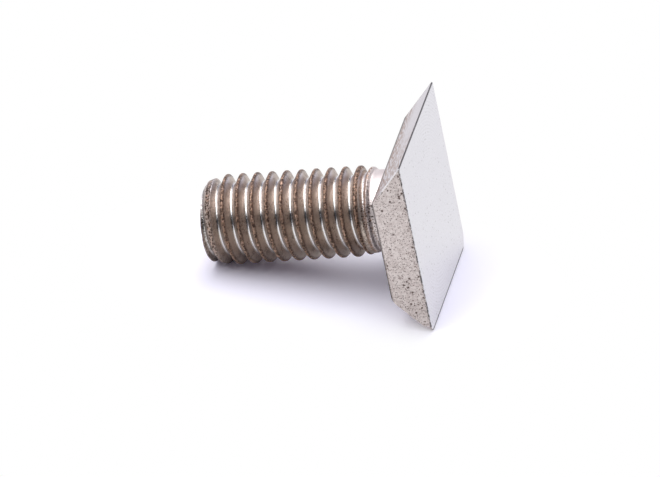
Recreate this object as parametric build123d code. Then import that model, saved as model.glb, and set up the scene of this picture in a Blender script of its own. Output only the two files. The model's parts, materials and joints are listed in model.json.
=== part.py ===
from build123d import *
from build123d.topology import SkipClean
import os
from math import asin, atan, atan2, ceil, cos, degrees, hypot, radians, sin, tan

# A dovetail-head bolt for a slotted rail, formed from one piece of stainless steel. All
# lengths are in millimetres and all angles in degrees. The bolt is modelled upright, with
# the tip of its thread at the origin and its head on top, and is laid down at the end.

# Head: the outer face is nearly square, two sides are straight and two are tapered
head_width = 11.5           # across the straight sides
head_height = 12.45         # across the tapered sides, at the outer face, to sharp edges
head_thickness = 2.3
taper_angle = 48.0          # of a tapered side, from the bolt's axis
upper_back_round = 0.35     # where the upper tapered side turns into the back face
lower_back_round = 0.95     # the same on the side that the bolt lies on
upper_corner_round = 0.4    # blunted corners of the outer face, seen along the axis
lower_corner_round = 1.05
edge_round = 0.04           # on the sharp edges between outer face and tapered sides

# Shank: a rolled thread, and a plain neck at about the diameter that it was rolled from.
# What stays below the crest is given as a step in radius.
shank_length = 12.8         # from the tip to the back face of the head
crest_diameter = 5.96
neck_step = 0.38
neck_length = 1.22
neck_fillet = 0.4           # where the neck meets the head
tip_step = 0.39             # at the end face
tip_taper_length = 1.2      # over which the tip opens out to the full diameter
tip_edge_break = 0.08

# Thread: metric coarse M6, right-handed, with the standard's 60 degree form
thread_pitch = 1.0
form_angle = 60.0
crest_share = 0.125         # flat of the crest, as a share of the pitch
root_share = 0.168          # radius of the root's round, as a share of the pitch
groove_phase = 0.73         # from the tip to the groove, on the side that faces +X
full_crest_gap = 2.2        # from the back face to the end of the full thread
shoulder_step = 0.17        # the last, unfinished ridge beside the neck
shoulder_length = 0.35
shoulder_fall = 0.28        # length of the slope from that ridge down to the neck
full_groove_gap = 2.07      # from the back face to where the groove starts to grow shallow
runout_turn = 345.0         # angle over which it grows shallow and ends
root_facets = 2             # flats that stand for the round of the root
crest_arcs = 8              # arcs in one turn of the round faces
seam_turn = 38.0            # where their seams start, so that none cuts a short end off a crest
cutter_overlap = 0.05       # how far the groove's cutter stands proud of the crest
cutter_step = 120.0         # largest turn of one ruled strip of the cutter

crest_radius = crest_diameter / 2
neck_radius = crest_radius - neck_step
shoulder_radius = crest_radius - shoulder_step
tip_radius = crest_radius - tip_step
flank_angle = radians(form_angle / 2)
crest_flat = thread_pitch * crest_share
half_mouth = (thread_pitch - crest_flat) / 2
root_round = thread_pitch * root_share
root_centre = crest_radius - half_mouth / tan(flank_angle) + root_round / sin(flank_angle)
total_length = shank_length + head_thickness
half_height = head_height / 2
taper_slope = tan(radians(taper_angle))

# Along the shank: where the neck, the last ridge and the full thread end
neck_start = shank_length - neck_length
shoulder_end = neck_start - shoulder_fall
shoulder_start = shoulder_end - shoulder_length
crest_end = shank_length - full_crest_gap


def blank():
    """The turned blank, as equal sectors, so that each round face is a short arc."""
    inside_head = shank_length + head_thickness / 2
    fillet_start = shank_length - neck_fillet
    fillet_edge = neck_radius + neck_fillet
    outline = Polyline(
        (fillet_edge, shank_length),
        (fillet_edge, inside_head),
        (0, inside_head),
        (0, 0),
        (tip_radius - tip_edge_break, 0),
        (tip_radius, tip_edge_break),
        (crest_radius, tip_taper_length),
        (crest_radius, crest_end),
        (shoulder_radius, shoulder_start),
        (shoulder_radius, shoulder_end),
        (neck_radius, neck_start),
        (neck_radius, fillet_start),
    )
    hollow = RadiusArc((neck_radius, fillet_start), (fillet_edge, shank_length), neck_fillet)
    section = Plane.XZ * make_face(outline + hollow)
    sector_angle = 360 / crest_arcs
    sector = revolve(section, Axis.Z, revolution_arc=sector_angle)
    turns = [seam_turn + sector_angle * index for index in range(crest_arcs)]
    sectors = [Rot(0, 0, turn) * sector for turn in turns]
    return sectors[0].fuse(*sectors[1:])


def groove_corners():
    """Corners of the groove's section as (radius, height), centred on height 0."""
    half_turn = 90 - form_angle / 2
    corners = []
    for index in range(root_facets + 1):
        angle = radians(half_turn * (2 * index / root_facets - 1))
        corners.append((root_centre - root_round * cos(angle), root_round * sin(angle)))
    proud = half_mouth + cutter_overlap * tan(flank_angle)
    outside = crest_radius + cutter_overlap
    return corners + [(outside, proud), (outside, -proud)]


def screw_strips(corners, start, start_turn, turn, climb):
    """Ruled faces that carry the section up a helix while its radius grows by climb."""
    count = ceil(turn / cutter_step)
    rise = thread_pitch * turn / 360 / count
    cone = atan(climb / count / rise)
    faces = []
    for index in range(count):
        grown = climb * index / count
        helices = [
            Pos(0, 0, height) * Edge.make_helix(
                thread_pitch / cos(cone), rise, radius + grown, angle=degrees(cone)
            )
            for radius, height in corners
        ]
        turned = start_turn + turn * index / count
        place = Pos(0, 0, start + rise * index) * Rot(0, 0, turned)
        for side, helix in enumerate(helices):
            faces.append(place * Face.make_surface_from_curves(helices[side - 1], helix))
    return faces


def groove_cap(corners, height, turned, grown):
    """Flat end of the cutter, in a plane through the axis."""
    points = [(radius + grown, rise) for radius, rise in corners]
    cap = Plane.XZ * make_face(Polyline(*points, close=True))
    return (Pos(0, 0, height) * Rot(0, 0, turned) * cap).face()


def groove_cutter():
    """The thread groove: a full-depth helix, then a tail that climbs out of the blank."""
    corners = groove_corners()
    tail_rise = thread_pitch * runout_turn / 360
    start = groove_phase - 2 * thread_pitch
    tail_start = shank_length - full_groove_gap
    full_turn = 360 * (tail_start - start) / thread_pitch
    climb = crest_radius - (root_centre - root_round) + cutter_overlap
    faces = screw_strips(corners, start, 0, full_turn, 0)
    faces += screw_strips(corners, tail_start, full_turn, runout_turn, climb)
    faces.append(groove_cap(corners, start, 0, 0))
    end_turn = full_turn + runout_turn
    faces.append(groove_cap(corners, tail_start + tail_rise, end_turn, climb))
    return Solid(Shell(faces))


def head():
    """Dovetail head: a trapezoid drawn out across the bolt, with blunted corners."""
    back_half = half_height - head_thickness * taper_slope
    profile = make_face(
        Polyline(
            (-back_half, shank_length),
            (back_half, shank_length),
            (half_height, total_length),
            (-half_height, total_length),
            close=True,
        )
    )
    profile = fillet(profile.vertices().group_by(Axis.Y)[-1], edge_round)
    lower_back, upper_back = profile.vertices().group_by(Axis.Y)[0].sort_by(Axis.X)
    profile = fillet(upper_back, upper_back_round)
    profile = fillet(profile.vertices().sort_by_distance(lower_back)[0], lower_back_round)
    drawn = extrude(Plane.YZ * profile, head_width, both=True)

    outline = Rectangle(head_width, head_height)
    lower, upper = outline.vertices().group_by(Axis.Y)
    outline = fillet(lower, lower_corner_round)
    outline = fillet(outline.vertices().group_by(Axis.Y)[-1], upper_corner_round)
    trim = extrude(Pos(0, 0, shank_length - head_thickness) * outline, 3 * head_thickness)
    return drawn & trim


def crest_contacts():
    """Where the thread's ridges could touch a floor below the bolt: (height, radius)."""
    underside = groove_phase + 0.75 * thread_pitch
    taper = (crest_radius - tip_radius) / tip_taper_length
    contacts = []
    for index in range(-2, ceil(crest_end / thread_pitch)):
        ridge = underside + (index + 0.5) * thread_pitch
        for height in (ridge - crest_flat / 2, ridge + crest_flat / 2):
            if 0 < height < crest_end:
                contacts.append((height, min(crest_radius, tip_radius + taper * height)))
    return contacts


def rest_tilt():
    """Slope of the axis when the bolt lies on its head's lower edge and on its thread."""
    half_edge_angle = radians(90 - taper_angle) / 2
    foot_height = total_length - edge_round
    foot_depth = half_height - edge_round / tan(half_edge_angle)
    slopes = []
    for height, radius in crest_contacts():
        run = foot_height - height
        drop = foot_depth - radius
        slopes.append(atan2(drop, run) + asin(edge_round / hypot(run, drop)))
    return min(slopes)


def laid_down(bolt):
    """Turns the upright bolt into its rest, with its box's bottom centre at the origin."""
    tilt = rest_tilt()
    lying = Plane(origin=(0, 0, 0), x_dir=(0, 1, 0), z_dir=(cos(tilt), 0, sin(tilt))) * bolt
    box = lying.bounding_box()
    return Pos(-box.center().X, -box.center().Y, -box.min.Z) * lying


def make_bolt():
    """The whole bolt, one solid."""
    with SkipClean():
        shank = blank().cut(groove_cutter())
        return laid_down(shank.fuse(head()))


os.makedirs("parts", exist_ok=True)
bolt = make_bolt()
export_step(bolt, "parts/bolt.step")
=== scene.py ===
# %% [markdown]
# # A dovetail head bolt lying on a white table
# This lesson builds one small steel bolt in Blender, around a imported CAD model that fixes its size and
# place. The CAD model is exact but plain. Here the bolt gets the rounded crests of a rolled thread,
# the small unevenness of a cold-formed head, and steel with pits, scratches and brown oxide.

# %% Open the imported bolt
import json
from math import asin, atan2, ceil, cos, pi, radians, sin, tan
from types import SimpleNamespace

import bmesh
import bpy
from mathutils import Matrix, Vector


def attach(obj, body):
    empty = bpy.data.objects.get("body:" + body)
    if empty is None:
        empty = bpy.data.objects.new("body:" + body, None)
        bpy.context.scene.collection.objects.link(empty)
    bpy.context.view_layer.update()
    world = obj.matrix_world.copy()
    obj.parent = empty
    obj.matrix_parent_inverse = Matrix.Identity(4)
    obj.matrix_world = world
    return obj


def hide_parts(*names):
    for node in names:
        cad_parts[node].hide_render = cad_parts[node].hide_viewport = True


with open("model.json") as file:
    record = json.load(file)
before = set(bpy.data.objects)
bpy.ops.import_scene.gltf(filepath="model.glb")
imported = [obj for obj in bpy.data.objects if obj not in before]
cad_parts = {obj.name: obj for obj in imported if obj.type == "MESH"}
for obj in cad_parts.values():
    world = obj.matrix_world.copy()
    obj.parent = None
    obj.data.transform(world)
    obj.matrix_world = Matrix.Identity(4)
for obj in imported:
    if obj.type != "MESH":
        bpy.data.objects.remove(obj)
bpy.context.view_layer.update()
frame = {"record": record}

# %% [markdown]
# The bolt's own measures are easiest to give along its axis: x from the tip of the thread to the head,
# y along the head's lower edge, z across it. All of them are in millimetres. The real bolt doesn't lie
# level, because its head is wider than its thread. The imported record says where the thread's axis
# runs, so the slope is read from there and one matrix lays every finished mesh down.

# %% Lay the bolt's axis down as the record says
MM = 0.001
thread_mount = next(m for m in frame["record"]["mounts"] if m["name"] == "thread")
mount_centre = 5.9          # from the tip, along the axis
toward_tip = Vector(thread_mount["axis"])
tip = Vector(thread_mount["pos_m"]) / MM + toward_tip * mount_centre
slope = atan2(-toward_tip.z, -toward_tip.x)
lay_down = Matrix.Scale(MM, 4) @ Matrix.Translation(tip) @ Matrix.Rotation(-slope, 4, "Y")
print("slope in radians:", round(slope, 4), "tip in mm:", [round(c, 3) for c in tip])

# %% [markdown]
# Node trees full of Math nodes are hard to read as a list of links. This small class lets a formula be
# written as one: each operation on a Number adds the Math node for it, in a geometry tree or in a
# material alike.


# %% Write node formulas as formulas
def plug_in(tree, plug, value):
    """Joins a socket to a Number or another socket, or sets the value that it holds."""
    if isinstance(value, Number):
        value = value.socket
    if isinstance(value, bpy.types.NodeSocket):
        tree.links.new(value, plug)
    else:
        plug.default_value = value


def put(tree, kind, plugs=None, **settings):
    """Adds a node, with settings, and with values or links for its input sockets."""
    node = tree.nodes.new(kind)
    for name, value in settings.items():
        setattr(node, name, value)
    for name, value in (plugs or {}).items():
        plug_in(tree, node.inputs[name], value)
    return node


class Number:
    """A number that flows through a node tree."""

    def __init__(self, tree, socket):
        self.tree = tree
        self.socket = socket

    def math(self, operation, *others):
        node = put(self.tree, "ShaderNodeMath", operation=operation)
        for plug, value in zip(node.inputs, (self, *others)):
            plug_in(self.tree, plug, value)
        return Number(self.tree, node.outputs[0])

    def __add__(self, other):
        return self.math("ADD", other)

    def __sub__(self, other):
        return self.math("SUBTRACT", other)

    def __rsub__(self, other):
        return self * -1.0 + other

    def __mul__(self, other):
        return self.math("MULTIPLY", other)

    def __truediv__(self, other):
        return self.math("DIVIDE", other)

    def at_least(self, other):
        return self.math("MAXIMUM", other)

    def at_most(self, other):
        return self.math("MINIMUM", other)

    def ramp(self, low, high, start=0.0, end=1.0, smooth=True):
        """Goes from start to end while this number goes from low to high."""
        ends = {"Value": self, "From Min": low, "From Max": high, "To Min": start, "To Max": end}
        kind = "SMOOTHSTEP" if smooth else "LINEAR"
        node = put(self.tree, "ShaderNodeMapRange", ends, interpolation_type=kind)
        return Number(self.tree, node.outputs["Result"])

    def fade(self, full, gone):
        """Goes from 1 to 0 while this number goes from full to gone."""
        return self.ramp(full, gone, 1.0, 0.0)

    def band(self, rise, fall):
        """1 between two spans, with a ramp up over the first and down over the second."""
        return self.ramp(*rise) * self.fade(*fall)


# %% [markdown]
# The shank is a rolled thread: steel pressed up between two dies, so its roots are smooth and its
# crests softly rounded. Its shape follows a rule, which makes it a job for Geometry Nodes. A grid is
# wound around the axis like a ribbon that climbs one pitch in each turn. Every row of points then
# stays on the same part of the ridge all along the thread, and the seam closes onto the next turn.

# %% The sizes of the shank
SHANK_SIZES = {
    "Pitch": 1.0,
    "Crest radius": 2.98,
    "Crest flat": 0.125,
    "Crest softness": 0.09,
    "Root round": 0.168,
    "Groove phase": 0.73,
    "Tip step": 0.39,
    "Tip taper": 1.2,
    "Tip edge": 0.08,
    "Lip rise": 0.12,
    "Full thread end": 10.6,
    "Shoulder start": 10.95,
    "Shoulder end": 11.3,
    "Shoulder step": 0.17,
    "Neck start": 11.58,
    "Neck step": 0.38,
    "Neck shift": 0.055,
    "Neck fillet": 0.4,
    "Back face": 12.8,
    "Groove fades from": 10.73,
    "Groove fades over": 0.958,
    "Fade rise": 0.64,
    "Unevenness": 0.012,
}
ROWS_PER_PITCH = 32
STEPS_PER_TURN = 112
HIDDEN_END = 0.4            # how far the shank goes on inside the head
CAP_WIDTH = 0.6             # rows of this length close each end
WELD_GAP = 0.0005
half_flank = radians(30)
shank_end = SHANK_SIZES["Back face"] + HIDDEN_END
ribbon_start = -CAP_WIDTH - SHANK_SIZES["Pitch"]
row_step = SHANK_SIZES["Pitch"] / ROWS_PER_PITCH
row_count = ceil((shank_end + CAP_WIDTH - ribbon_start) / row_step)
print("ribbon of", row_count, "by", STEPS_PER_TURN, "quads")

# %% [markdown]
# The radius of the shank is the smaller of two rules. The first is the blank, which tapers at the tip,
# with a thin lip where the groove opens there, and steps down to the neck.

# %% The rule for the blank
LIP_OPENS = (radians(174), radians(184))    # angles around the axis
LIP_CLOSES = (radians(252), radians(275))
LIP_END = (0.25, 0.45)


def blank_radius(x, angle, size):
    """The blank's radius at x along the axis, before the groove is pressed in."""
    taper = x.ramp(size["Tip edge"], size["Tip taper"], size["Tip step"], 0.0, smooth=False)
    edge = x.ramp(0.0, size["Tip edge"], size["Tip edge"], 0.0, smooth=False)
    shoulder = x.ramp(size["Full thread end"], size["Shoulder start"], 0.0, size["Shoulder step"])
    neck_fall = size["Neck step"] - size["Shoulder step"]
    neck = x.ramp(size["Shoulder end"], size["Neck start"], 0.0, neck_fall)
    fillet = size["Neck fillet"]
    into_fillet = (x - size["Back face"] + fillet).at_least(0.0).at_most(fillet)
    hollow = fillet - (fillet * fillet - into_fillet * into_fillet).math("SQRT")
    lip = angle.band(LIP_OPENS, LIP_CLOSES) * x.fade(*LIP_END) * size["Lip rise"]
    return size["Crest radius"] - taper - edge - shoulder - neck + hollow + lip


# %% [markdown]
# The second rule is the groove, with straight flanks and a round root. Near the head it grows shallow
# and fades into the last ridge. Later a smooth minimum of the two rules rounds the crest.


# %% The rule for the groove
def groove_radius(x, angle, size):
    """The radius that the thread's groove leaves, larger than the blank where there is none."""
    pitch = size["Pitch"]
    turns = x / pitch - angle / (2 * pi)
    from_centre = ((turns - size["Groove phase"] + 0.5).math("FRACT") - 0.5) * pitch
    aside = from_centre.math("ABSOLUTE")
    half_mouth = (pitch - size["Crest flat"]) / 2.0
    root = size["Root round"]
    root_edge = root * cos(half_flank)
    root_centre = size["Crest radius"] - half_mouth / tan(half_flank) + root / sin(half_flank)
    flank = size["Crest radius"] + (aside - half_mouth) / tan(half_flank)
    under = aside.at_most(root_edge)
    bottom = root_centre - (root * root - under * under).math("SQRT")
    in_root = aside.math("LESS_THAN", root_edge)
    fade_end = size["Groove fades from"] + size["Groove fades over"]
    groove_x = x - from_centre
    faded = groove_x.ramp(size["Groove fades from"], fade_end, 0.0, size["Fade rise"], smooth=False)
    return in_root * bottom + (1.0 - in_root) * flank + faded


# %% [markdown]
# The tree winds the grid around the axis. Its first and last rows run past the ends of the shank, where
# they shrink to a point on the axis and close the tip and the hidden end. A little noise keeps the
# ridges from looking turned. Merging by distance welds the seam.


# %% Start and end the tree
def plant_inputs(tree, sizes):
    """Gives the tree a named input for each size, and returns them as Numbers."""
    for name in sizes:
        tree.interface.new_socket(name=name, in_out="INPUT", socket_type="NodeSocketFloat")
    entry = tree.nodes.new("NodeGroupInput")
    return {name: Number(tree, entry.outputs[name]) for name in sizes}


def lay_grid(tree):
    """A flat grid, and how far each of its points is around and along it, from 0 to 1."""
    counts = {"Vertices X": STEPS_PER_TURN + 1, "Vertices Y": row_count + 1}
    grid = put(tree, "GeometryNodeMeshGrid", {"Size X": 1.0, "Size Y": 1.0, **counts})
    place = tree.nodes.new("GeometryNodeInputPosition")
    flat = put(tree, "ShaderNodeSeparateXYZ", {0: place.outputs[0]})
    around = Number(tree, flat.outputs["X"]) + 0.5
    along = Number(tree, flat.outputs["Y"]) + 0.5
    return grid.outputs["Mesh"], around, along


def weld_and_paint(tree, geometry, material):
    """Closes the seam, and makes the smooth, painted mesh the output of the tree."""
    weld = {"Geometry": geometry, "Distance": WELD_GAP}
    welded = put(tree, "GeometryNodeMergeByDistance", weld)
    smooth = put(tree, "GeometryNodeSetShadeSmooth", {"Geometry": welded.outputs[0]})
    real = put(tree, "GeometryNodeRealizeInstances", {"Geometry": smooth.outputs[0]})
    finish = {"Geometry": real.outputs[0], "Material": material}
    painted = put(tree, "GeometryNodeSetMaterial", finish)
    put(tree, "NodeGroupOutput", {"Geometry": painted.outputs[0]})


# %% Wind the ribbon with Geometry Nodes
UNEVEN_SCALE = 1.6          # waves per millimetre
UNEVEN_DETAIL = 3.0


def wind_shank(material):
    """A tree that makes the shank, in millimetres along its own axis."""
    tree = bpy.data.node_groups.new("rolled thread", "GeometryNodeTree")
    tree.interface.new_socket(name="Geometry", in_out="OUTPUT", socket_type="NodeSocketGeometry")
    size = plant_inputs(tree, SHANK_SIZES)
    grid, around, along = lay_grid(tree)
    angle = around * (2 * pi)
    wound = along * (row_count * row_step) + around * size["Pitch"] + ribbon_start
    x = wound.at_least(0.0).at_most(shank_end)
    groove = groove_radius(x, angle, size)
    radius = blank_radius(x, angle, size).math("SMOOTH_MIN", groove, size["Crest softness"])
    beyond = (wound - x).math("ABSOLUTE") / CAP_WIDTH
    closing = (1.0 - beyond * beyond).at_least(0.0)
    side = angle.math("COSINE")
    height = angle.math("SINE")
    spot = put(tree, "ShaderNodeCombineXYZ", {"X": x, "Y": radius * side, "Z": radius * height})
    waves = {"Vector": spot.outputs[0], "Scale": UNEVEN_SCALE, "Detail": UNEVEN_DETAIL}
    wave = Number(tree, put(tree, "ShaderNodeTexNoise", waves).outputs[0])
    final = (radius + (wave - 0.5) * size["Unevenness"]) * closing
    shifted = x.ramp(size["Full thread end"], size["Neck start"], 0.0, size["Neck shift"])
    point = {"X": x, "Y": final * side, "Z": final * height + shifted}
    wrapped = put(tree, "ShaderNodeCombineXYZ", point)
    move = {"Geometry": grid, "Position": wrapped.outputs[0]}
    moved = put(tree, "GeometryNodeSetPosition", move)
    weld_and_paint(tree, moved.outputs[0], material)
    return tree


# %% [markdown]
# A tree only works on an object that carries it. So it runs on an empty mesh, the result is kept as a
# plain mesh, and the matrix from the start lays that mesh down in its place.


# %% Make the shank
def grow(name, tree, sizes):
    """Runs a geometry tree on an empty mesh and keeps the result as a plain mesh object."""
    seed = bpy.data.objects.new(name, bpy.data.meshes.new(name))
    bpy.context.scene.collection.objects.link(seed)
    modifier = seed.modifiers.new(name, "NODES")
    modifier.node_group = tree
    for socket in tree.interface.items_tree:
        if socket.in_out == "INPUT":
            modifier[socket.identifier] = sizes[socket.name]
    bpy.context.view_layer.update()
    grown = seed.evaluated_get(bpy.context.evaluated_depsgraph_get())
    mesh = bpy.data.meshes.new_from_object(grown)
    seed.modifiers.remove(modifier)
    seed.data = mesh
    mesh.transform(lay_down)
    return seed


thread_steel = bpy.data.materials.new("rolled thread steel")
shank = grow("shank", wind_shank(thread_steel), SHANK_SIZES)
print("shank:", len(shank.data.vertices), "points,", len(shank.data.polygons), "faces")

# %% [markdown]
# The head is a short block, straight on two sides and tapered on the other two, pressed from the same
# steel. It has blunted corners, rounded back edges, and a back face that isn't quite square to the
# axis. Its sharp edges are broken by a tiny radius. A bevel would make spikes where the thin edges
# meet, so the shape comes from its inside: a core, smaller by that radius, gets a small ball at each
# of its points, and the convex hull goes round all the balls.

# %% The sizes of the head
HALF_WIDTH = 5.75           # to the straight sides
HALF_HEIGHT = 6.225         # to the tapered sides, at the outer face
OUTER_FACE = 15.1           # from the tip
FLANK_ANGLE = radians(48)   # between a tapered side and the axis
TAPER = tan(FLANK_ANGLE)
BACK_SKEW = 0.14            # how much thicker the head is at its far side
CORNER_ROUNDS = {(-1, -1): 0.72, (1, -1): 1.15, (-1, 1): 0.3, (1, 1): 0.26}
BACK_ROUNDS = {-1: 0.95, 1: 0.35}
EDGE_ROUND = 0.04
CORNER_STEPS = 8


# %% Points of the core
def blunted_corner(side, top):
    """Arc of one corner, on the outer face and where it meets the tapered side."""
    round_off = CORNER_ROUNDS[side, top]
    radius = round_off - EDGE_ROUND
    core_top = HALF_HEIGHT - EDGE_ROUND * TAPER - EDGE_ROUND / cos(FLANK_ANGLE)
    whole_turn = asin((core_top - HALF_HEIGHT + round_off) / radius)
    for step in range(CORNER_STEPS + 1):
        turn = whole_turn * step / CORNER_STEPS
        y = side * (HALF_WIDTH - round_off + radius * cos(turn))
        z = HALF_HEIGHT - round_off + radius * sin(turn)
        x = OUTER_FACE - EDGE_ROUND
        yield Vector((x, y, top * z))
        yield Vector((x - (core_top - z) / TAPER, y, top * z))


def rounded_back(side, top):
    """Arc between the back face and a tapered side, at one end of the edge."""
    round_off = BACK_ROUNDS[top]
    radius = round_off - EDGE_ROUND
    back = SHANK_SIZES["Back face"] - BACK_SKEW * (side + 1) / 2
    edge = HALF_HEIGHT - (OUTER_FACE - back) * TAPER
    centre = edge - round_off * (1 - sin(FLANK_ANGLE)) / cos(FLANK_ANGLE)
    for step in range(CORNER_STEPS + 1):
        turn = (pi / 2 - FLANK_ANGLE) * step / CORNER_STEPS
        x = back + round_off - radius * cos(turn)
        yield Vector((x, side * (HALF_WIDTH - EDGE_ROUND), top * (centre + radius * sin(turn))))


core_points = []
for side in (-1, 1):
    for top in (-1, 1):
        core_points += blunted_corner(side, top)
        core_points += rounded_back(side, top)
print("the head's core has", len(core_points), "points")

# %% [markdown]
# The hull comes out in many slivers. Those that lie flat are joined again, so that each broad face is
# one face, and a narrow rim inside it keeps the smooth shading of the edges from spreading over it.

# %% Make the head
BALL_DETAIL = 2             # subdivisions of each small ball
FLAT_ANGLE = radians(0.6)   # neighbours that meet at less than this are one face
BROAD_FACE = 4              # square millimetres
RIM = 0.03


def ball_points():
    """The points of one small ball."""
    ball = bmesh.new()
    bmesh.ops.create_icosphere(ball, subdivisions=BALL_DETAIL, radius=EDGE_ROUND)
    points = [vert.co.copy() for vert in ball.verts]
    ball.free()
    return points


def hull_of_balls():
    """The convex hull of a ball at each point of the core."""
    shape = bmesh.new()
    offsets = ball_points()
    for point in core_points:
        for offset in offsets:
            shape.verts.new(point + offset)
    hull = bmesh.ops.convex_hull(shape, input=shape.verts)
    left_over = hull["geom_interior"] + hull["geom_unused"]
    spare = {item for item in left_over if isinstance(item, bmesh.types.BMVert)}
    bmesh.ops.delete(shape, geom=list(spare), context="VERTS")
    return shape


def make_head():
    """The head as an object, with clean broad faces."""
    shape = hull_of_balls()
    bmesh.ops.remove_doubles(shape, verts=shape.verts, dist=WELD_GAP)
    bmesh.ops.dissolve_limit(
        shape, angle_limit=FLAT_ANGLE, verts=shape.verts, edges=shape.edges
    )
    broad = [face for face in shape.faces if face.calc_area() > BROAD_FACE]
    bmesh.ops.inset_individual(shape, faces=broad, thickness=RIM)
    bmesh.ops.recalc_face_normals(shape, faces=shape.faces)
    for face in shape.faces:
        face.smooth = True
    mesh = bpy.data.meshes.new("head")
    shape.to_mesh(mesh)
    shape.free()
    mesh.transform(lay_down)
    head = bpy.data.objects.new("head", mesh)
    bpy.context.scene.collection.objects.link(head)
    return head


head_steel = bpy.data.materials.new("cold-formed head steel")
head = make_head()
head.data.materials.append(head_steel)
print("head:", len(head.data.vertices), "points,", len(head.data.polygons), "faces")

# %% [markdown]
# Both finishes follow the bolt's own axis, so each material first turns Object coordinates back into
# millimetres along that axis. One Mapping node does it, because the lay-down is a turn, a shift and a
# scale. Patterns then stay on the steel from any side.


# %% Find a place on the bolt inside a material
def bolt_place(tree):
    """Place on the bolt in millimetres: the vector, and x, y and z as Numbers."""
    undo = lay_down.inverted()
    source = tree.nodes.new("ShaderNodeTexCoord")
    settings = {
        "Vector": source.outputs["Object"],
        "Location": undo.to_translation(),
        "Rotation": undo.to_euler(),
        "Scale": undo.to_scale(),
    }
    place = put(tree, "ShaderNodeMapping", settings).outputs[0]
    parts = put(tree, "ShaderNodeSeparateXYZ", {0: place})
    return (place, *(Number(tree, plug) for plug in parts.outputs))


# %% [markdown]
# Worn steel is never even. Two patterns are enough for it: soft noise for clouds, grain and scratches,
# and the cells of a Voronoi texture for round pits. A colour is then laid over another as strongly as
# such a pattern says, which is easier to change than a painted picture.

# %% Noise, pits and layers of colour
PIT_SMALLEST = 0.5          # as a share of the size asked for
PIT_SPREAD = 0.6            # how much larger the largest is
PIT_EDGE = 0.45             # softness of its edge
NOT_ZERO = 0.0001


def noise(tree, place, scale, detail, stretch=(1, 1, 1), roughness=0.5):
    """Soft noise from about 0.3 to 0.7, with scale in features per millimetre."""
    scaled = put(tree, "ShaderNodeMapping", {"Vector": place, "Scale": stretch}).outputs[0]
    settings = {"Vector": scaled, "Scale": scale, "Detail": detail, "Roughness": roughness}
    return Number(tree, put(tree, "ShaderNodeTexNoise", settings).outputs[0])


def pits(tree, place, scale, size, share):
    """1 in round pits and 0 elsewhere. Only a share of the cells holds one, each of its own size."""
    cells = put(tree, "ShaderNodeTexVoronoi", {"Vector": place, "Scale": scale})
    colour = put(tree, "ShaderNodeSeparateColor", {0: cells.outputs["Color"]})
    pick, grade = (Number(tree, colour.outputs[i]) for i in (0, 1))
    reach = (grade * PIT_SPREAD + PIT_SMALLEST) * (size * scale) * pick.math("LESS_THAN", share)
    distance = Number(tree, cells.outputs["Distance"])
    return (1.0 - distance / (reach + NOT_ZERO)).ramp(0.0, PIT_EDGE)


def blend(tree, amount, first, second):
    """Mixes two colours, given as three numbers each or as sockets."""
    node = put(tree, "ShaderNodeMix", data_type="RGBA")
    plug_in(tree, node.inputs[0], amount)
    for plug, colour in ((node.inputs[6], first), (node.inputs[7], second)):
        plug_in(tree, plug, colour if isinstance(colour, bpy.types.NodeSocket) else (*colour, 1.0))
    return node.outputs[2]


def lay_over(tree, base, layers):
    """Lays colours over a base, one after another, each as strong as its amount."""
    for amount, colour in layers:
        base = blend(tree, amount, base, colour)
    return base


# %% [markdown]
# Each finish ends in the same three things: a colour, a roughness, and a relief of a few hundredths of
# a millimetre at most, which is too fine for the mesh and so becomes bump.


# %% Join a finish to its shader
def bare_steel(material):
    """Empties a material down to a metal shader, and returns its tree and shader."""
    material.use_nodes = True
    tree = material.node_tree
    shader = tree.nodes["Principled BSDF"]
    shader.inputs["Metallic"].default_value = 1.0
    return tree, shader


def join_up(tree, shader, colour, roughness, relief, strength, depth):
    """Joins colour, roughness and relief, of a depth in millimetres, to the shader."""
    bump = {"Height": relief, "Strength": strength, "Distance": depth * MM}
    plug_in(tree, shader.inputs["Base Color"], colour)
    plug_in(tree, shader.inputs["Roughness"], roughness)
    plug_in(tree, shader.inputs["Normal"], put(tree, "ShaderNodeBump", bump).outputs[0])


# %% [markdown]
# The thread's finish changes across each ridge. Rolling burnished the bottom of the groove, which
# mirrors the lamps as a white streak. The flanks are a satin grey-brown, with a painted sheen that
# makes them lighter and violet near the top. The crest carries brown oxide with rusty spots and dark
# pits, and a thin line of painted shade runs along its edge. An image would have to be wound onto the
# thread. Here the place across the ridge follows from x and the angle around the axis, so ramps find
# each part, and the pattern has no seam.

# %% The colours and spans of the thread
ROOT_STEEL = (0.46, 0.425, 0.395)
BURNISHED = (0.80, 0.80, 0.83)
FLANK_STEEL = (0.55, 0.465, 0.41)
# Painted sheen: this colour makes the flanks near the top of the thread lighter and violet.
PAINTED_TOP_SHEEN = (0.72, 0.69, 0.745)
OXIDE = (0.30, 0.18, 0.12)
RUST_SPOT = (0.62, 0.40, 0.29)
# Dark colour of the pits, also used for the painted shade line along the crests' edge.
DARK_PIT_AND_SHADE = (0.05, 0.024, 0.015)
NECK_STEEL = (0.78, 0.71, 0.70)
crest_phase = SHANK_SIZES["Groove phase"] - 0.5
# Spans of radius, in millimetres
SATIN_RADIUS = (2.38, 2.48)         # from the burnished groove to the satin flanks
STREAK_RADIUS = (2.25, 2.3)
END_FACE_RADIUS = (2.4, 2.5)
# Spans along the axis, in millimetres from the tip
END_FACE_X = (0.02, 0.06)
STREAK_X = (0.3, 1.6)
TIP_X = (0.5, 1.4)
LAST_TURNS_X = (10.0, 10.3)
LAST_RIDGE_X = (10.7, 11.0)
LAST_LINE_X = ((11.08, 11.16), (11.27, 11.37))
NECK_X = (11.1, 11.3)
NECK_PITS_X = (10.7, 11.1)
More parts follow.
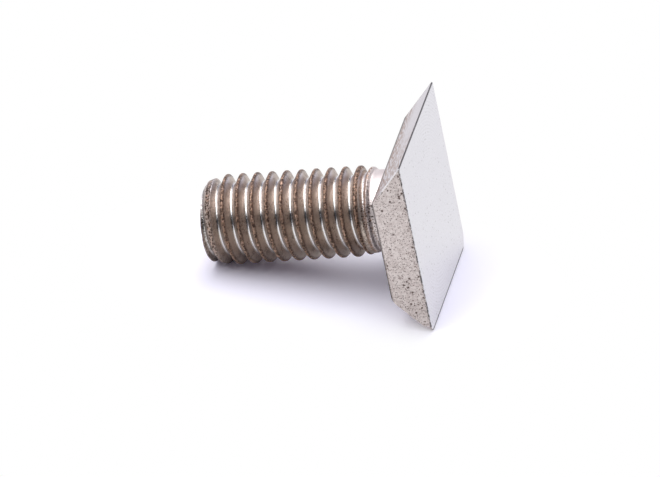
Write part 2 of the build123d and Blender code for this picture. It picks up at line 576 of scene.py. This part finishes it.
# Spans across a ridge, in pitches from the middle of the crest towards the head
STREAK_SHIFT = 0.025
STREAK_ACROSS = (0.42, 0.45)
RIDGE_RISE = (-0.27, -0.13)
RIDGE_FALL = (0.07, 0.16)
SECOND_LINE = ((0.28, 0.34), (0.4, 0.46))
# Where the thin line of painted shade lies, just past each crest.
SHADE_LINE_ACROSS = ((0.07, 0.1), (0.13, 0.17))
# Spans across the axis, in millimetres up from it
# The painted sheen on the flanks lies between these heights.
UPPER_Z = (2.45, 2.95)
NECK_PITS_Z = ((-0.2, 0.6), (1.5, 2.0))
print("the first crest is", round(crest_phase, 3), "mm from the tip")


# %% Find the parts of the thread
def unwind(tree, place, x, y, z):
    """Place across the ridge, clean and frayed by noise, and radius and place along the axis."""
    on = SimpleNamespace(x=x, z=z)
    on.cloud = noise(tree, place, scale=1.6, detail=3.0)
    on.grain = noise(tree, place, scale=8.0, detail=3.0, roughness=0.7)
    turns = x - z.math("ARCTAN2", y) / (2 * pi) - crest_phase
    on.across = (turns + 0.5).math("FRACT") - 0.5 + (on.cloud - 0.5) * 0.03
    on.ragged = on.across + (on.grain - 0.5) * 0.16
    on.radius = (y * y + z * z).math("SQRT")
    return on


def find_oxide_line(on):
    """The broad line on the crest, a second one on the last turns, and one on the last ridge."""
    head_side = on.ragged + on.last_ridge * 0.3 - on.x.ramp(*LAST_TURNS_X) * 0.12
    ridge = on.ragged.ramp(*RIDGE_RISE) * head_side.fade(*RIDGE_FALL)
    second_line = on.ragged.band(*SECOND_LINE) * on.x.ramp(*LAST_TURNS_X)
    on.crest = (ridge + second_line * (1.0 - on.last_ridge)) * on.satin
    frayed_x = on.x + (on.grain - 0.5) * 0.5
    on.last_line = frayed_x.band(*LAST_LINE_X)


def find_thread_parts(tree, place, x, y, z):
    """The parts of the thread, each 1 inside and 0 outside."""
    on = unwind(tree, place, x, y, z)
    on.satin = (on.radius + (on.grain - 0.5) * 0.2).ramp(*SATIN_RADIUS)
    groove = (on.across - STREAK_SHIFT).math("ABSOLUTE").ramp(*STREAK_ACROSS)
    on.streak = groove * on.radius.ramp(*STREAK_RADIUS) * x.ramp(*STREAK_X, 0.3, 1.0)
    on.end_face = x.fade(*END_FACE_X) * on.radius.fade(*END_FACE_RADIUS)
    on.last_ridge = x.ramp(*LAST_RIDGE_X)
    find_oxide_line(on)
    on.upper = z.ramp(*UPPER_Z)
    on.tip = x.fade(*TIP_X)
    on.neck = (x + (on.grain - 0.5) * 0.4).ramp(*NECK_X)
    return on


# %% [markdown]
# Oxide is thick on the crests and a thin stain on the flanks. It thins out at the tip and is almost
# gone on the neck, except for one line on the last ridge. The dark pits show most in the oxide and
# less beside it, so one mask says how strongly.


# %% Spread the oxide and the pits
def spread_oxide(on):
    """How much oxide covers the steel."""
    stain = on.grain.ramp(0.48, 0.66) * on.satin * on.cloud.ramp(0.35, 0.6) * 0.6
    patchy = on.crest * (on.grain.ramp(0.36, 0.5) * 0.4 + 0.6)
    oxide = patchy.at_least(stain) * (1.0 - on.neck * 0.8)
    oxide = oxide * (1.0 - on.tip * 0.5) * (1.0 - on.end_face)
    return oxide.at_least(on.last_line * 0.8)


def spread_pits(on):
    """How strongly the thread's dark pits show."""
    scattered = on.satin * (1.0 - on.neck) * on.cloud.ramp(0.4, 0.7) * 0.5
    beside = scattered.at_least(on.tip * 0.5 - on.end_face * 0.3)
    return on.crest * (0.85 - on.last_ridge * 0.25) + beside


# %% Finish the thread
THREAD_BUMP = 0.8
THREAD_DEPTH = 0.02         # of its relief, in millimetres


def colour_thread(tree, place, on, oxide, dots):
    """The thread's colours, from the bare root up to the pits."""
    # Painted shade: a thin dark line along the head-side edge of each crest.
    painted_shade_line = on.ragged.band(*SHADE_LINE_ACROSS) * on.satin * (1.0 - on.neck)
    on_oxide = (on.crest + on.last_line).at_most(1.0)
    rust = pits(tree, place, scale=5.5, size=0.11, share=0.6) * on_oxide
    denser_up, gone_up = NECK_PITS_Z
    on_neck = on.x.ramp(*NECK_PITS_X) * on.z.fade(*gone_up) * on.z.ramp(*denser_up, 0.5, 1.0)
    neck_dots = pits(tree, place, scale=9.0, size=0.07, share=0.8) * on_neck
    layers = (
        (on.satin, FLANK_STEEL),
        # painted sheen: lighter, violet flanks near the top
        (on.upper * (1.0 - on.crest * 0.6), PAINTED_TOP_SHEEN),
        ((on.neck + on.tip * 0.25) * on.satin, NECK_STEEL),
        ((on.neck * 0.8).at_least(on.end_face * 0.6), NECK_STEEL),
        (on.streak * (1.0 - on.neck), BURNISHED),
        (oxide, OXIDE),
        # painted shade line
        (painted_shade_line * 0.45, DARK_PIT_AND_SHADE),
        (rust * 0.8, RUST_SPOT),
        (dots, DARK_PIT_AND_SHADE),
        (neck_dots, DARK_PIT_AND_SHADE),
    )
    return lay_over(tree, ROOT_STEEL, layers)


def finish_thread(material):
    """Rolled steel with oxide on its ridges."""
    tree, shader = bare_steel(material)
    place, x, y, z = bolt_place(tree)
    on = find_thread_parts(tree, place, x, y, z)
    oxide = spread_oxide(on)
    dots = pits(tree, place, scale=7.5, size=0.105, share=1.0)
    dotted = spread_pits(on)
    colour = colour_thread(tree, place, on, oxide, dots * dotted.at_most(1.0))
    rough = on.satin.ramp(0.0, 1.0, 0.12, 0.38) + on.end_face * 0.2 + oxide * 0.05 + on.neck * 0.1
    relief = on.grain * (on.satin * 0.85 + 0.05) - dots * dotted
    join_up(tree, shader, colour, rough, relief, THREAD_BUMP, THREAD_DEPTH)
    plug_in(tree, shader.inputs["Metallic"], 1.0 - oxide * 0.5)


finish_thread(thread_steel)
print("thread finish:", len(thread_steel.node_tree.nodes), "nodes")

# %% [markdown]
# The head has three finishes. Its outer face was pressed flat against a die: pale, satin and nearly
# clean. The straight sides were sheared and are full of small dark pits. The tapered sides show brown
# scratches that run down the slope. Each could be a material of its own, but they meet in soft edges
# with dark lines. So one material holds all three, and distances from the faces and edges place the
# wear, the dark lines and a painted highlight.

# %% The colours of the head, and its parts
PALE_FACE = (0.84, 0.83, 0.875)
FACE_SPECK = (0.30, 0.27, 0.28)
SHEARED = (0.61, 0.535, 0.525)
SHEARED_PALE = (0.75, 0.68, 0.67)
TAPERED = (0.70, 0.67, 0.71)
SCRATCH = (0.36, 0.235, 0.19)
SCRATCH_DARK = (0.16, 0.1, 0.08)
PIT = (0.075, 0.042, 0.032)
# Dark colour for the thin lines along the edges and for the whole back face.
EDGE_DARK = (0.045, 0.04, 0.045)
# Painted highlight on the edge between the near side and the upper tapered side.
PAINTED_EDGE_HIGHLIGHT = (0.97, 0.95, 0.97)
LOW_END = (1.0, -5.5)       # from the middle of the head down to its lower end
SCRATCH_SLANT = radians(12)
SCRATCH_STRETCH = (0.5, 0.25, 3.0)


def on_face(across, face):
    """1 on the flat face that stands at this distance across, and 0 just below it."""
    return across.ramp(face - 0.04, face - 0.005)


def find_head_parts(tree, place, x, y, z):
    """The head's faces, each 1 inside and 0 outside, distances from its edges, and its noises."""
    on = SimpleNamespace(y=y, z=z)
    on.outer = on_face(x, OUTER_FACE)
    on.sheared = on_face(y.math("ABSOLUTE"), HALF_WIDTH)
    on.low = z.ramp(*LOW_END)
    on.from_axis = (y * y + z * z).math("SQRT")
    on.from_outer = OUTER_FACE - x
    on.from_back = x - SHANK_SIZES["Back face"]
    on.from_near_side = y + HALF_WIDTH
    on.cloud = noise(tree, place, scale=0.9, detail=3.0)
    on.grain = noise(tree, place, scale=6.0, detail=4.0, roughness=0.7)
    on.fine = noise(tree, place, scale=16.0, detail=2.0, roughness=0.7)
    slant = {"Vector": place, "Rotation": (SCRATCH_SLANT, 0, 0)}
    slanted = put(tree, "ShaderNodeMapping", slant).outputs[0]
    grooves = {"scale": 4.5, "detail": 3.0, "stretch": SCRATCH_STRETCH, "roughness": 0.6}
    on.scratch = noise(tree, slanted, **grooves)
    return on


# %% [markdown]
# On the tapered sides the scratches crowd towards the back edge and the near side. The sheared sides
# get big and small pits, which crowd at the lower end and along the outer edge. The outer face keeps
# faint rings from the die, and a few specks.

# %% Colour each kind of face
RING_GAP = 0.22


def colour_tapered(tree, on):
    """Scratched steel, with a dark rim along the back and far edges."""
    worn = on.from_back.fade(0.1, 1.6) * 0.6 + on.y.ramp(3.0, -5.0) * 0.4
    lines = on.scratch.ramp(0.42, 0.56) * worn.ramp(0.0, 0.6)
    lines = lines * on.from_back.ramp(0.02, 0.3, 0.3, 1.0)
    by_far_side = (HALF_WIDTH - on.y).fade(0.03, 0.14)
    rim = on.from_back.fade(0.12, 0.3).at_least(by_far_side) * on.from_back.ramp(0.0, 0.05)
    patchy_rim = rim * (on.grain.ramp(0.4, 0.55) * 0.5 + 0.4)
    return lay_over(tree, TAPERED, ((lines * 0.95, SCRATCH), (patchy_rim, SCRATCH_DARK)))


def crowd_pits(tree, place, on):
    """Big and small pits of the sheared sides."""
    by_edge = on.from_outer.fade(0.1, 0.7)
    crowd = (on.low * 0.45 + by_edge * 0.3 + on.cloud.ramp(0.4, 0.6) * 0.25).at_most(1.0)
    big = pits(tree, place, scale=4.7, size=0.095, share=crowd * 0.45 + 0.1)
    small = pits(tree, place, scale=9.0, size=0.063, share=crowd * 0.6 + 0.5)
    return big, small


def colour_sheared(tree, on, big_pits, small_pits):
    """Mottled steel with pits."""
    layers = (
        (on.grain.ramp(0.4, 0.6), SHEARED_PALE),
        # darker towards the lower end, in the pits' colour
        (on.low * 0.12, PIT),
        (small_pits * 0.75, PIT),
        (big_pits * 0.85, PIT),
    )
    return lay_over(tree, SHEARED, layers)


def colour_outer(tree, place, on):
    """Pale satin steel with faint rings and specks."""
    rings = (on.from_axis * (2 * pi / RING_GAP)).math("SINE")
    ring_depth = on.z.math("ABSOLUTE").ramp(2.0, 5.0) * on.grain.ramp(0.35, 0.6) * 0.1
    mottle = rings * ring_depth + (on.fine - 0.5) * 0.7 + 0.04
    specks = pits(tree, place, scale=3.2, size=0.065, share=0.4)
    layers = ((mottle.at_least(0.0).at_most(1.0), FACE_SPECK), (specks * 0.6, FACE_SPECK))
    return lay_over(tree, PALE_FACE, layers)


# %% [markdown]
# A thin dark line runs along the edges of the outer face and along the back edge, and the back face
# is dark all over. The edge between the near side and the upper tapered side gets a painted highlight.

# %% Finish the head
HEAD_BUMP = 0.5
HEAD_DEPTH = 0.03           # of its relief, in millimetres


def find_dark_and_bright_edges(on):
    """Dark lines along the edges, and a painted highlight along the near upper edge."""
    beside_outer = on.from_outer.fade(0.04, 0.12)
    top_line = (HALF_HEIGHT - on.z).fade(0.12, 0.2) * beside_outer
    low_line = (on.z + HALF_HEIGHT).fade(0.14, 0.22) * beside_outer
    near_line = on.from_near_side.fade(0.03, 0.1) * on.from_outer.fade(0.05, 0.14)
    near_line = near_line * on.grain.ramp(0.4, 0.55)
    back_line = on.from_back.fade(0.06, 0.14)
    dark_edges = (top_line + low_line + near_line + back_line * 0.8).at_most(1.0)
    from_tapered = (HALF_HEIGHT - on.from_outer * TAPER - on.z) * cos(FLANK_ANGLE)
    # Painted highlight: a bright strip along the edge between the near side and the upper tapered side.
    edge_highlight = from_tapered.fade(0.05, 0.1) * on.from_near_side.fade(0.05, 0.1)
    return dark_edges, edge_highlight * on.from_outer.fade(1.2, 2.0)


def finish_head(material):
    """Cold-formed steel with three kinds of face."""
    tree, shader = bare_steel(material)
    place, x, y, z = bolt_place(tree)
    on = find_head_parts(tree, place, x, y, z)
    big_pits, small_pits = crowd_pits(tree, place, on)
    dark_edges, edge_highlight = find_dark_and_bright_edges(on)
    layers = (
        (on.sheared, colour_sheared(tree, on, big_pits, small_pits)),
        (on.outer, colour_outer(tree, place, on)),
        # dark lines along the edges, and the back face dark all over
        (dark_edges * (on.fine.ramp(0.3, 0.5) * 0.3 + 0.65), EDGE_DARK),
        # painted highlight
        (edge_highlight * 0.9, PAINTED_EDGE_HIGHLIGHT),
    )
    colour = lay_over(tree, colour_tapered(tree, on), layers)
    rough = on.outer.ramp(0.0, 1.0, 0.42, 0.38) + (on.cloud - 0.5) * 0.1
    pitted = (big_pits + small_pits * 0.5) * on.sheared
    relief = on.fine * 0.3 - pitted - on.scratch * (1.0 - on.outer) * 0.4
    join_up(tree, shader, colour, rough, relief, HEAD_BUMP, HEAD_DEPTH)


finish_head(head_steel)
print("head finish:", len(head_steel.node_tree.nodes), "nodes")

# %% [markdown]
# The imported CAD bolt is one solid that doesn't move. The shank and the head stand in its place and
# ride on its one body.

# %% Put the shank and the head on the bolt's body and hide the CAD bolt
for piece in (shank, head):
    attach(piece, "root")
    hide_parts("bolt")
print("pieces:", shank.name, "and", head.name)

# %% [markdown]
# The photograph was taken from far away, about 30 degrees above the table and slightly rolled. A long
# lens at the same place gives the same picture, and keeps the far end of the bolt from shrinking.

# %% Set up the camera
AZIMUTH = radians(10.15)
ELEVATION = radians(31.5)
ROLL = radians(2.53)
AIM = Vector((0.498, -1.472, 3.42)) * MM
DISTANCE = 522.86 * MM
SENSOR_WIDTH = 36
FOCAL_LENGTH = 436.36
NEAREST_SEEN = 0.01
back = Vector((sin(AZIMUTH) * cos(ELEVATION), -cos(AZIMUTH) * cos(ELEVATION), sin(ELEVATION)))
level = Vector((cos(AZIMUTH), sin(AZIMUTH), 0))
right = level * cos(ROLL) + back.cross(level) * sin(ROLL)
turn = Matrix((right, back.cross(right), back)).transposed().to_4x4()
lens = bpy.data.cameras.new("camera")
lens.sensor_width = SENSOR_WIDTH
lens.lens = FOCAL_LENGTH
lens.clip_start = NEAREST_SEEN
camera = bpy.data.objects.new("camera", lens)
camera.matrix_world = Matrix.Translation(AIM + back * DISTANCE) @ turn
bpy.context.scene.collection.objects.link(camera)
bpy.context.scene.camera = camera
print("camera at", [round(c, 4) for c in camera.matrix_world.translation])

# %% [markdown]
# The table is one white sheet that keeps the bolt's shadow. The camera sees it a little whiter than it
# lights the bolt, because the photograph over-exposes it. Away from the bolt it glows plain white to
# the camera and in reflections, so that it fades into the backdrop without an edge.

# %% Set up the table
TABLE_REACH = 3.0
FOOTPRINT = 0.0075          # half the length that the bolt covers
FADE_START = 0.0033
FADE_END = 0.0085
WHITE = (1.0, 1.0, 1.0)
LIT_WHITE = (0.95, 0.95, 0.95)
SEEN_WHITE = (1.04, 1.035, 1.13)


def ray_kinds(tree, *names):
    """1 for the rays of each named kind, and 0 for all others."""
    ray = tree.nodes.new("ShaderNodeLightPath")
    return [Number(tree, ray.outputs[name]) for name in names]


def paint_table(material):
    """A diffuse sheet near the bolt that turns into plain white light away from it."""
    material.use_nodes = True
    tree = material.node_tree
    tree.nodes.clear()
    source = tree.nodes.new("ShaderNodeTexCoord")
    parts = put(tree, "ShaderNodeSeparateXYZ", {0: source.outputs["Object"]})
    x, y = (Number(tree, parts.outputs[i]) for i in (0, 1))
    beyond = (x.math("ABSOLUTE") - FOOTPRINT).at_least(0.0)
    far = (beyond * beyond + y * y).math("SQRT").ramp(FADE_START, FADE_END)
    kinds = ("Is Camera Ray", "Is Glossy Ray", "Is Transmission Ray")
    camera_ray, glossy_ray, clear_ray = ray_kinds(tree, *kinds)
    shown = (camera_ray + glossy_ray + clear_ray).at_most(1.0)
    white = blend(tree, camera_ray, LIT_WHITE, SEEN_WHITE)
    sheet = put(tree, "ShaderNodeBsdfDiffuse", {"Color": white})
    glow = put(tree, "ShaderNodeEmission", {"Color": (*WHITE, 1.0), "Strength": 1.0})
    choice = {0: far * shown, 1: sheet.outputs[0], 2: glow.outputs[0]}
    mixed = put(tree, "ShaderNodeMixShader", choice)
    put(tree, "ShaderNodeOutputMaterial", {"Surface": mixed.outputs[0]})


table_mesh = bpy.data.meshes.new("table")
corners = [(x * TABLE_REACH, y * TABLE_REACH, 0) for x, y in ((-1, -1), (1, -1), (1, 1), (-1, 1))]
table_mesh.from_pydata(corners, [], [(0, 1, 2, 3)])
table = bpy.data.objects.new("table", table_mesh)
table_paint = bpy.data.materials.new("white table")
paint_table(table_paint)
table_mesh.materials.append(table_paint)
bpy.context.scene.collection.objects.link(table)
print("table reaches", TABLE_REACH, "m each way")

# %% [markdown]
# The room gives a dim light from all round, slightly violet as the photograph's shadow is. The camera
# sees it plain white, and the steel mirrors it pale, except for one side, in the photographer's
# direction. That side is dark and draws the dark bands on the thread. It is a place in the room, so
# the bands are true reflections and hold from any angle.

# %% Light the room
ROOM_LIGHT = 0.2            # for plain surfaces
ROOM_SHEEN = 0.42           # what shiny ones mirror
LOW_WALL = (0.1, 0.3)       # heights over which the mirrored white falls to that sheen
SHADE_TINT = (0.72, 0.66, 1.0)
SHEEN_TINT = (0.93, 0.90, 1.0)
DARK_HEIGHT = radians(26)   # of the dark side's middle above the table
DARK_SIDE = Vector((0.0, -cos(DARK_HEIGHT), sin(DARK_HEIGHT)))
DARK_REACH = (cos(radians(69)), cos(radians(41)))   # from its soft edge to its full dark
DARK_LEFT = 0.12            # the light left in it


def light_room(world):
    """Light from all round, told apart for the camera, for mirrors and for plain surfaces."""
    world.use_nodes = True
    tree = world.node_tree
    tree.nodes.clear()
    camera_ray, glossy_ray = ray_kinds(tree, "Is Camera Ray", "Is Glossy Ray")
    source = tree.nodes.new("ShaderNodeTexCoord")
    parts = put(tree, "ShaderNodeSeparateXYZ", {0: source.outputs["Generated"]})
    height = Number(tree, parts.outputs["Z"])
    aim = {0: source.outputs["Generated"], 1: DARK_SIDE}
    facing = put(tree, "ShaderNodeVectorMath", aim, operation="DOT_PRODUCT")
    open_side = Number(tree, facing.outputs["Value"]).ramp(*DARK_REACH, 1.0, DARK_LEFT)
    mirrored = glossy_ray * height.ramp(*LOW_WALL, 1.0, ROOM_SHEEN) * open_side
    plain = (1.0 - glossy_ray) * ROOM_LIGHT
    colour = blend(tree, glossy_ray, SHADE_TINT, SHEEN_TINT)
    colour = blend(tree, camera_ray, colour, WHITE)
    strength = camera_ray + (1.0 - camera_ray) * (mirrored + plain)
    glow = put(tree, "ShaderNodeBackground", {"Color": colour, "Strength": strength})
    put(tree, "ShaderNodeOutputWorld", {"Surface": glow.outputs[0]})


studio = bpy.data.worlds.new("studio")
bpy.context.scene.world = studio
light_room(studio)
print("room:", len(studio.node_tree.nodes), "nodes")

# %% [markdown]
# Most of the light comes from two lamps above the bolt, a little towards its tip: a wide soft box, and
# a narrower, brighter one a little further back, which gives the white streaks in the grooves their
# core. Small lamps would make hard shadows, which the photograph doesn't have.

# %% Hang the lamps
LAMPS = {
    "soft box": {"place": (-0.08, 0.0, 0.36), "size": (0.9, 0.6), "power": 1.1},
    "bright core": {"place": (-0.08, 0.045, 0.36), "size": (1.0, 0.2), "power": 1.9},
}


def hang_lamp(name, place, size, power):
    """A soft box of two sizes, along x and y, that points at the bolt."""
    lamp = bpy.data.lights.new(name, "AREA")
    lamp.shape = "RECTANGLE"
    lamp.size, lamp.size_y = size
    lamp.energy = power
    holder = bpy.data.objects.new(name, lamp)
    away = Vector(place)
    turned = away.to_track_quat("Z", "Y").to_matrix().to_4x4()
    holder.matrix_world = Matrix.Translation(away) @ turned
    holder.visible_camera = False
    bpy.context.scene.collection.objects.link(holder)


for name, settings in LAMPS.items():
    hang_lamp(name, **settings)
    print("lamp:", name, settings["size"], "m wide and deep,", settings["power"], "W")
bpy.context.scene.view_settings.view_transform = "Standard"
